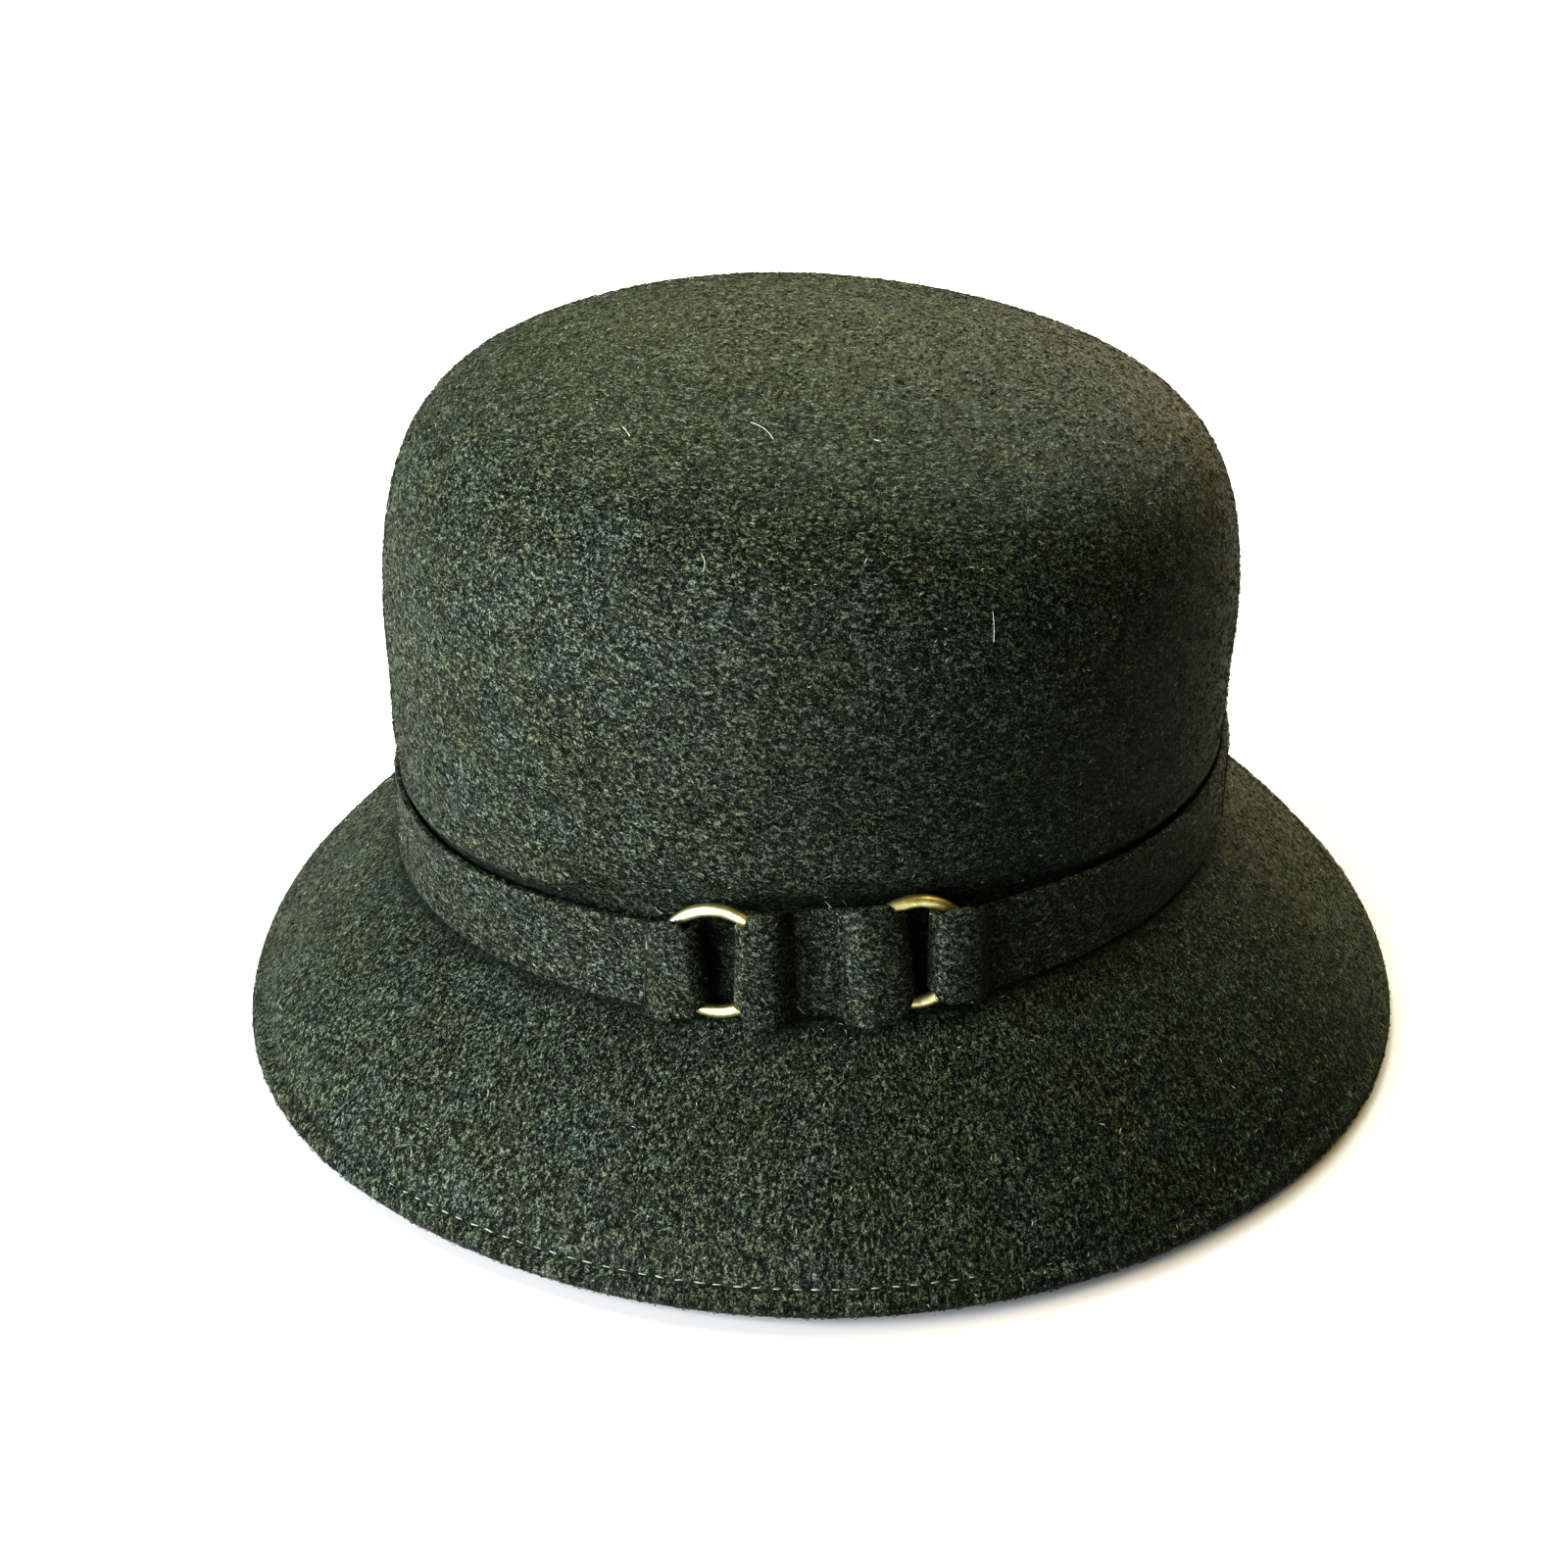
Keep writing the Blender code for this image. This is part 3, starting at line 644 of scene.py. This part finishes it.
def make_strap(name, node, material):
    """A strap of the same felt, its cut edges rounded and its loops swollen over the rings."""
    bm = cad_copy(node)
    sharp = [e for e in bm.edges if len(e.link_faces) == 2 and e.calc_face_angle() > STRAP_EDGE]
    bmesh.ops.bevel(
        bm, geom=sharp, offset=STRAP_ROUND, segments=2, profile=0.5, affect="EDGES", material=-1,
        clamp_overlap=True,
    )
    mesh = subdivided(bm)
    points = positions(mesh)
    landing = np.zeros(len(points), bool)
    for ring in ("ring_left", "ring_right"):
        centre, radius, along, up, out = ring_frame(ring)
        apart, height, stand = ((points - centre) @ np.stack([along, up, out], axis=1)).T
        landing |= (abs(apart) > LANDING[0]) & (abs(apart) < LANDING[1]) & (abs(stand) < LANDING_DEPTH)
        loop = np.clip(1 - ((abs(apart) - LOOP_MIDDLE) / LOOP_HALF) ** 2, 0, 1)
        loop *= smooth_share(stand / LOOP_FRONT)
        crowned = 1 - LOOP_ROUND * np.clip(height / radius, -1, 1) ** 2
        points += (LOOP_SWELL * loop * crowned)[:, None] * out
        starts = smooth_share((abs(apart) - LOOP_ENDS[0]) / LOOP_EASE[0])
        hang = starts * smooth_share((LOOP_ENDS[1] - abs(apart)) / LOOP_EASE[1])
        points += (LOOP_HANG * hang * np.minimum(height, 0))[:, None] * up
        fold = smooth_share((FOLD_GONE - abs(apart)) / (FOLD_GONE - FOLD_FULL))
        middle, foot = np.where((apart < 0)[:, None], FOLD_IN[0], FOLD_IN[1]).T
        lean = fold * (middle - foot * np.clip(height / radius, -1, 1))
        points -= (np.sign(apart) * lean)[:, None] * along
    if node == "centre_tab":
        points += (TAB_RISE * np.maximum((points - centre) @ up, 0))[:, None] * up
    move_to(mesh, points)
    bm = bmesh.new()
    bm.from_mesh(mesh)
    bm.verts.ensure_lookup_table()
    soft = [bm.verts[k] for k in np.flatnonzero(landing)]
    for _ in range(LANDING_SOFTNESS):
        bmesh.ops.smooth_vert(bm, verts=soft, factor=0.5, use_axis_x=True, use_axis_y=True, use_axis_z=True)
    bm.to_mesh(mesh)
    bm.free()
    return place_piece(name, mesh, material, "band_felt", node)


def make_ring(name, node, material):
    """A ring of round brass wire."""
    mesh = subdivided(cad_copy(node))
    centre, radius, _, _, out = ring_frame(node)
    points = positions(mesh)
    flat = points - centre - ((points - centre) @ out)[:, None] * out
    middle = centre + flat / np.linalg.norm(flat, axis=1)[:, None] * radius
    move_to(mesh, middle + (points - middle) * WIRE_FULL)
    place_piece(name, mesh, material, "antique_brass", node)


def fibre_shapes():
    """Closed three-sided spindles a unit long, with the middle pushed up and aside by various shares."""
    shapes = []
    for rise, bend in ((0.10, 0.12), (0.16, -0.10), (0.22, 0.04), (0.07, -0.22)):
        bm = bmesh.new()
        for side in (1, -1):
            bmesh.ops.create_cone(
                bm, segments=3, radius1=0.5, radius2=0.0, depth=0.5,
                matrix=Matrix.Rotation(side * math.pi / 2, 4, "Y") @ Matrix.Translation((0, 0, 0.25)),
            )
        bmesh.ops.remove_doubles(bm, verts=bm.verts, dist=1e-4)
        bmesh.ops.recalc_face_normals(bm, faces=bm.faces)
        bm.verts.ensure_lookup_table()
        corners = np.array([v.co for v in bm.verts])
        faces = np.array([[v.index for v in f.verts] for f in bm.faces])
        middle = 1 - 2 * np.abs(corners[:, 0])
        lean = np.stack([0 * middle, bend * middle, rise * middle], axis=1)
        shapes.append((corners, lean, faces))
        bm.free()
    return shapes


def scatter(mesh, density, random):
    """Points spread over a mesh, so many to a square metre as the density of each triangle says."""
    corners, facing, area = triangles(mesh)
    weight = area * density(corners.mean(axis=1), facing)
    count = int(weight.sum())
    chosen = np.searchsorted(np.cumsum(weight), random.uniform(0, weight.sum(), count))
    chosen = np.minimum(chosen, len(weight) - 1)
    first, second = random.uniform(0, 1, (2, count))
    root = np.sqrt(first)
    shares = np.stack([1 - root, root * (1 - second), root * second], axis=1)
    return np.einsum("nk,nkc->nc", shares, corners[chosen]), facing[chosen]


def lay_nap(name, points, facing, random, material, slot, comb, spread, light):
    """Lays a fibre at each point, and joins them in one piece.

    comb is the angle of the fibres from the way round the hat, and spread how far they stray from it. light
    is how much lighter or darker they grow from patch to patch.
    """
    count = len(points)
    round_hat = np.cross(np.array((0.0, 0.0, 1.0)), facing)
    flat = np.linalg.norm(round_hat, axis=1) < NAP_LEVEL
    round_hat[flat] = (1.0, 0.0, 0.0)
    round_hat /= np.linalg.norm(round_hat, axis=1)[:, None]
    across = np.cross(facing, round_hat)
    turn = random.normal(comb, spread, count)
    lift = random.normal(*NAP_LIFT, count)
    along = round_hat * np.cos(turn)[:, None] + across * np.sin(turn)[:, None]
    along = along * np.cos(lift)[:, None] + facing * np.sin(lift)[:, None]
    side = np.cross(facing, along)
    side /= np.linalg.norm(side, axis=1)[:, None]
    up = np.cross(along, side)
    length = random.uniform(*NAP_LENGTH, count)
    width = random.uniform(*NAP_WIDTH, count)
    lightness = LIGHTNESS[0] + LIGHTNESS[1] * random.normal(0, 1, count)
    lightness += light * soft_noise(points, LIGHT_PATCH, SEED + 1)
    lightness = np.where(random.uniform(0, 1, count) < PALE_FIBRES[0], PALE_FIBRES[1], lightness)
    warmth = WARMTH[0] + WARMTH[1] * random.normal(0, 1, count)
    warmth += WARMTH[2] * soft_noise(points, WARM_PATCH, SEED + 2)
    shades = np.clip(np.stack([lightness, warmth], axis=1), 0.0, 0.999)
    shades = np.floor(shades * PALETTE) / PALETTE
    shapes = fibre_shapes()
    kinds = random.integers(0, len(shapes), count)
    verts, faces, maps, start = [], [], [], 0
    cell = np.array(CELL) / PALETTE
    for kind, (corners, lean, sides) in enumerate(shapes):
        mine = np.flatnonzero(kinds == kind)
        axes = np.stack([along[mine], side[mine], up[mine]], axis=1)
        size = np.stack([length[mine], width[mine], width[mine]], axis=1)
        local = corners[None] * size[:, None] + lean[None] * length[mine][:, None, None]
        world = np.einsum("nvk,nkc->nvc", local, axes) + points[mine][:, None]
        verts.append(world.reshape(-1, 3))
        offset = start + np.arange(len(mine))[:, None, None] * len(corners)
        faces.append((sides[None] + offset).reshape(-1, 3))
        maps.append(np.broadcast_to(
            shades[mine][:, None, None] + cell[None, None], (len(mine), len(sides), 3, 2),
        ).reshape(-1, 2))
        start += len(mine) * len(corners)
    mesh = bpy.data.meshes.new(name)
    mesh.from_pydata(np.concatenate(verts), [], np.concatenate(faces))
    uv = mesh.uv_layers.new(name="OFBake")
    uv.data.foreach_set("uv", np.concatenate(maps).astype(np.float32).ravel())
    place_piece(name, mesh, material, slot)


def behind_straps(points, facing, straps):
    """True for each point that a strap covers, or that lies close beside one."""
    covered = [
        straps.ray_cast(Vector(point), Vector(way), BAND_DEPTH)[0] is not None
        for point, way in zip(points, facing)
    ]
    return np.array(covered) | (distances(straps, points, 2 * STRAP_CLEAR) < STRAP_CLEAR)


def make_nap(hood, rim, straps, material):
    """The wool nap of the crown, the brim, the hood's inner side and the straps."""
    random = np.random.default_rng(SEED)

    def density(middles, facing):
        return np.where(outer(middles, facing), OUTER_NAP, INNER_NAP) * 1e6

    points, facing = scatter(hood.data, density, random)
    bare_line = BARE_LINE * hem_shows(oval_bearings(points)[0])
    line = (points[:, 2] < HEM_HEIGHT) & (abs(from_rim(points, rim) - STITCH_LINE) < bare_line)
    clear = (points[:, 2] > RIM_CLEAR) & ~line
    points, facing = points[clear], facing[clear]
    seen = outer(points, facing)
    near = beside_straps(points, facing)
    bare = np.zeros(len(points), bool)
    bare[near] = behind_straps(points[near], facing[near], tree_of(*[strap.data for strap in straps]))
    brim = seen & (points @ np.array(NECK_PLANE) < sum(NECK_LEVEL) / 2)
    crown = seen & ~brim & ~bare
    back = points[:, 1] > 0.0
    zones = (
        ("crown_nap_front", crown & ~back, -COMB_FALL, 0.90),
        ("crown_nap_back", crown & back, -COMB_FALL, 0.90),
        ("brim_nap", brim & ~bare, math.pi / 2, 1.0),
        ("lining_nap", ~seen, 0.0, 1.2),
    )
    for name, mine, comb, spread in zones:
        lay_nap(name, points[mine], facing[mine], random, material, "hood_felt", comb, spread, 0.11)
    for strap, name in zip(straps, ("band_nap", "tab_nap")):
        points, facing = scatter(strap.data, density, random)
        lay_nap(name, points, facing, random, material, "band_felt", 0.0, 0.9, 0.12)


def array_of(name, shape, frames, material, slot):
    """Joins a copy of a bmesh at each frame into one piece."""
    bm = bmesh.new()
    mesh = bpy.data.meshes.new("one")
    shape.to_mesh(mesh)
    shape.free()
    for matrix in frames:
        start = len(bm.verts)
        bm.from_mesh(mesh)
        bm.verts.ensure_lookup_table()
        bmesh.ops.transform(bm, matrix=matrix, verts=bm.verts[start:])
    bpy.data.meshes.remove(mesh)
    joined = bpy.data.meshes.new(name)
    bm.to_mesh(joined)
    bm.free()
    place_piece(name, joined, material, slot)


def stitch_shape():
    """One stitch a unit long: a thread that bows up and dives in at both ends."""
    bm = bmesh.new()
    bmesh.ops.create_uvsphere(bm, u_segments=8, v_segments=7, radius=0.5)
    bmesh.ops.rotate(bm, verts=bm.verts, cent=(0, 0, 0), matrix=Matrix.Rotation(math.pi / 2, 3, "Y"))
    for vert in bm.verts:
        share = 2 * vert.co.x
        vert.co.y *= THREAD / STITCH_LENGTH
        vert.co.z = vert.co.z * THREAD / STITCH_LENGTH - STITCH_BOW * share * share
    return bm


def stitch_frame(place, along, normal, length):
    """The place of a stitch that lies along a way on the felt, seated in it by part of its thickness."""
    across = normal.cross(along).normalized()
    basis = Matrix((across.cross(normal), across, normal)).transposed().to_4x4()
    return Matrix.Translation(place + normal * THREAD * THREAD_SEAT) @ basis @ Matrix.Scale(length, 4)


def hem_frames(tree, rim, upper):
    """Where the hem's stitches lie: at an equal pitch along a line inside the rim, on top or under it."""
    random = np.random.default_rng(SEED)
    half = (cad_high - cad_low) / 2
    side = 1 if upper else -1
    angles = np.radians(np.arange(0, 360, PROBE_STEP))
    spots = []
    for angle, share in zip(angles, np.interp(angles, *rim, period=2 * math.pi)):
        far = Vector((half.x * math.sin(angle), -half.y * math.cos(angle), 0.0))
        start = far * share - far.normalized() * STITCH_LINE
        start.z = PROBE[0] if upper else PROBE[1]
        hit, normal, _, _ = tree.ray_cast(start, Vector((0, 0, -side)), PROBE[2])
        bearing = angle - 2 * math.pi * round(angle / (2 * math.pi))
        spots.append((hit, normal, 1 - float(hem_shows(bearing))))
    walk = np.cumsum([0.0] + [
        (spots[(k + 1) % len(spots)][0] - spots[k][0]).length for k in range(len(spots))
    ])
    count = round(walk[-1] / STITCH_PITCH)
    frames = []
    for k in range(count):
        spot = int(np.searchsorted(walk, (k + 0.5) * walk[-1] / count)) % len(spots)
        place, normal, hidden = spots[spot]
        along = (spots[(spot + 2) % len(spots)][0] - spots[spot - 2][0]).normalized()
        stray = normal.cross(along) * random.normal(0, STITCH_STRAY)
        length = STITCH_LENGTH * random.uniform(*STITCH_VARIES)
        sunk = normal * (random.uniform(*STITCH_DEPTH) - STITCH_SINK * hidden / HEM_SUNK)
        frames.append(stitch_frame(place + sunk, along + stray, normal, length))
    return frames


def photo_ray(x, y):
    """The camera's place, and its way through a pixel of the photograph."""
    back, up = camera_ways()
    way = Vector((x - PHOTO_MIDDLE[0], 0.0, 0.0)) - up * (y - PHOTO_MIDDLE[1])
    way -= back * PHOTO_SIZE * CAMERA_LENS / SENSOR
    return CAMERA_AIM + back * CAMERA_DISTANCE, way.normalized()


def seam_frames(tree):
    """Where the stitches lie that hold down the straps' sewn ends."""
    frames = []
    for top, bottom in SEAMS:
        ends = [tree.ray_cast(*photo_ray(*point))[0] for point in (top, bottom)]
        along = (ends[1] - ends[0]).normalized()
        for k in range(SEAM_STITCHES):
            share = (k + 0.5) / SEAM_STITCHES
            pixel = [first + (last - first) * share for first, last in zip(top, bottom)]
            place, normal, _, _ = tree.ray_cast(*photo_ray(*pixel))
            frames.append(stitch_frame(place, along, normal, STITCH_LENGTH))
    return frames


def make_hairs(tree, material):
    """Pale loose hairs that have caught on the nap."""
    curve = bpy.data.curves.new("hairs", "CURVE")
    curve.dimensions = "3D"
    curve.bevel_depth = HAIR / 2
    curve.bevel_resolution = 1
    curve.use_fill_caps = True
    for pixels in LOOSE_HAIRS:
        spline = curve.splines.new("NURBS")
        spline.points.add(len(pixels) - 1)
        spline.order_u = 3
        spline.use_endpoint_u = True
        for point, pixel in zip(spline.points, pixels):
            place, normal, _, _ = tree.ray_cast(*photo_ray(*pixel))
            point.co = (*(place + normal * HAIR_RISE), 1.0)
    place_piece("loose_hairs", finished_mesh(curve), material, "hood_felt")


def make_backdrop():
    """An even white paper dome far behind everything. It only shows, and throws no light on the hat."""
    bpy.ops.mesh.primitive_ico_sphere_add(subdivisions=4, radius=BACKDROP_RADIUS)
    backdrop = bpy.context.object
    backdrop.name = "studio_backdrop"
    backdrop.visible_diffuse = False
    backdrop.visible_glossy = False
    backdrop.visible_shadow = False
    material, _, shader = new_material("lit_backdrop_paper")
    shader.inputs["Base Color"].default_value = linear("#000000")
    shader.inputs["Emission Color"].default_value = linear("#f8f8f6")
    shader.inputs["Emission Strength"].default_value = 1.0
    backdrop.data.materials.append(material)


def make_floor():
    """Pale matt paper that the hat stands on. It throws no light back up on the dark felt."""
    bpy.ops.mesh.primitive_circle_add(
        vertices=96, radius=FLOOR_RADIUS, fill_type="NGON", location=(0, 0, cad_low.z),
    )
    floor = bpy.context.object
    floor.name = "studio_floor"
    floor.visible_diffuse = False
    material, _, shader = new_material("pale_studio_paper")
    shader.inputs["Base Color"].default_value = linear("#f4f4f2")
    shader.inputs["Roughness"].default_value = 0.9
    floor.data.materials.append(material)


def make_lights():
    """Soft windows at the left and the front, cool ones high at the back, warm lamps at the back and right.

    The room itself is dim, and the card at the front shows only in gloss, mainly the brass rings'.
    """
    world = bpy.data.worlds.new("studio")
    bpy.context.scene.world = world
    world.use_nodes = True
    world.node_tree.nodes["Background"].inputs["Color"].default_value = (1, 1, 1, 1)
    world.node_tree.nodes["Background"].inputs["Strength"].default_value = ROOM_LIGHT
    for name, azimuth, elevation, size, power, colour in LIGHTS:
        data = bpy.data.lights.new(name, "AREA")
        data.shape = "DISK"
        data.size = size
        data.energy = power
        data.color = linear(colour)[:3]
        light = bpy.data.objects.new(name, data)
        bpy.context.scene.collection.objects.link(light)
        turn, tilt = math.radians(azimuth), math.radians(elevation)
        way = Vector((math.sin(turn) * math.cos(tilt), -math.cos(turn) * math.cos(tilt), math.sin(tilt)))
        light.location = CAMERA_AIM + way * LIGHT_DISTANCE
        light.rotation_euler = way.to_track_quat("Z", "Y").to_euler()
        light.visible_diffuse = name != "front_card"


def camera_ways():
    """The ways back from the hat to the camera, and up in its picture."""
    back = Vector((0, -math.cos(CAMERA_ELEVATION), math.sin(CAMERA_ELEVATION)))
    return back, Vector((0, math.sin(CAMERA_ELEVATION), math.cos(CAMERA_ELEVATION)))


def make_camera():
    data = bpy.data.cameras.new("photo_camera")
    data.lens = CAMERA_LENS
    data.sensor_width = SENSOR
    data.shift_x = 0.5 - PHOTO_MIDDLE[0] / PHOTO_SIZE
    data.shift_y = PHOTO_MIDDLE[1] / PHOTO_SIZE - 0.5
    camera = bpy.data.objects.new("photo_camera", data)
    bpy.context.scene.collection.objects.link(camera)
    camera.location = CAMERA_AIM + camera_ways()[0] * CAMERA_DISTANCE
    camera.rotation_euler = (math.pi / 2 - CAMERA_ELEVATION, 0, 0)
    bpy.context.scene.camera = camera


def main():
    make_camera()
    make_lights()
    bpy.context.scene.view_settings.view_transform = "Standard"
    bpy.context.scene.view_settings.look = "High Contrast"
    # The gaps hold painted shade between the fibres, and the lit shades a painted highlight
    hood_shades = ("#030604", "#17201a", "#49584c", "#1a1f13", "#4d533b")
    strap_shades = ("#030605", "#171e1a", "#4b574d", "#1b1e14", "#4d523b")
    hood_felt = melange_felt("melange_wool_felt", hood_shades, True)
    strap_felt = melange_felt("melange_strap_felt", strap_shades, False)
    fibres = wool_fibres()
    brass = antique_brass()
    straps = [
        make_strap("felt_band", "band", strap_felt),
        make_strap("felt_tab", "centre_tab", strap_felt),
    ]
    strap_tree = tree_of(*[strap.data for strap in straps])
    hood, rim = make_hood(hood_felt, strap_tree)
    make_ring("brass_ring_left", "ring_left", brass)
    make_ring("brass_ring_right", "ring_right", brass)
    make_nap(hood, rim, straps, fibres)
    thread = sewing_thread("sage_sewing_thread", "#75836d", "#aab6a1")
    # Dark thread for the sewn ends, which also paints the shade of the crease there
    dark_thread_and_crease_shade = sewing_thread("dark_thread_and_painted_crease_shade", "#060807", "#161b16")
    hairs = sewing_thread("pale_loose_hairs", "#a3a999", "#d3d6ca")
    hood_tree = tree_of(hood.data)
    array_of("hem_stitches_top", stitch_shape(), hem_frames(hood_tree, rim, True), thread, "hood_felt")
    array_of("hem_stitches_under", stitch_shape(), hem_frames(hood_tree, rim, False), thread, "hood_felt")
    array_of("seam_stitches_and_crease_shade", stitch_shape(), seam_frames(strap_tree), dark_thread_and_crease_shade, "band_felt")
    make_hairs(tree_of(hood.data, *[strap.data for strap in straps]), hairs)
    make_floor()
    make_backdrop()


main()
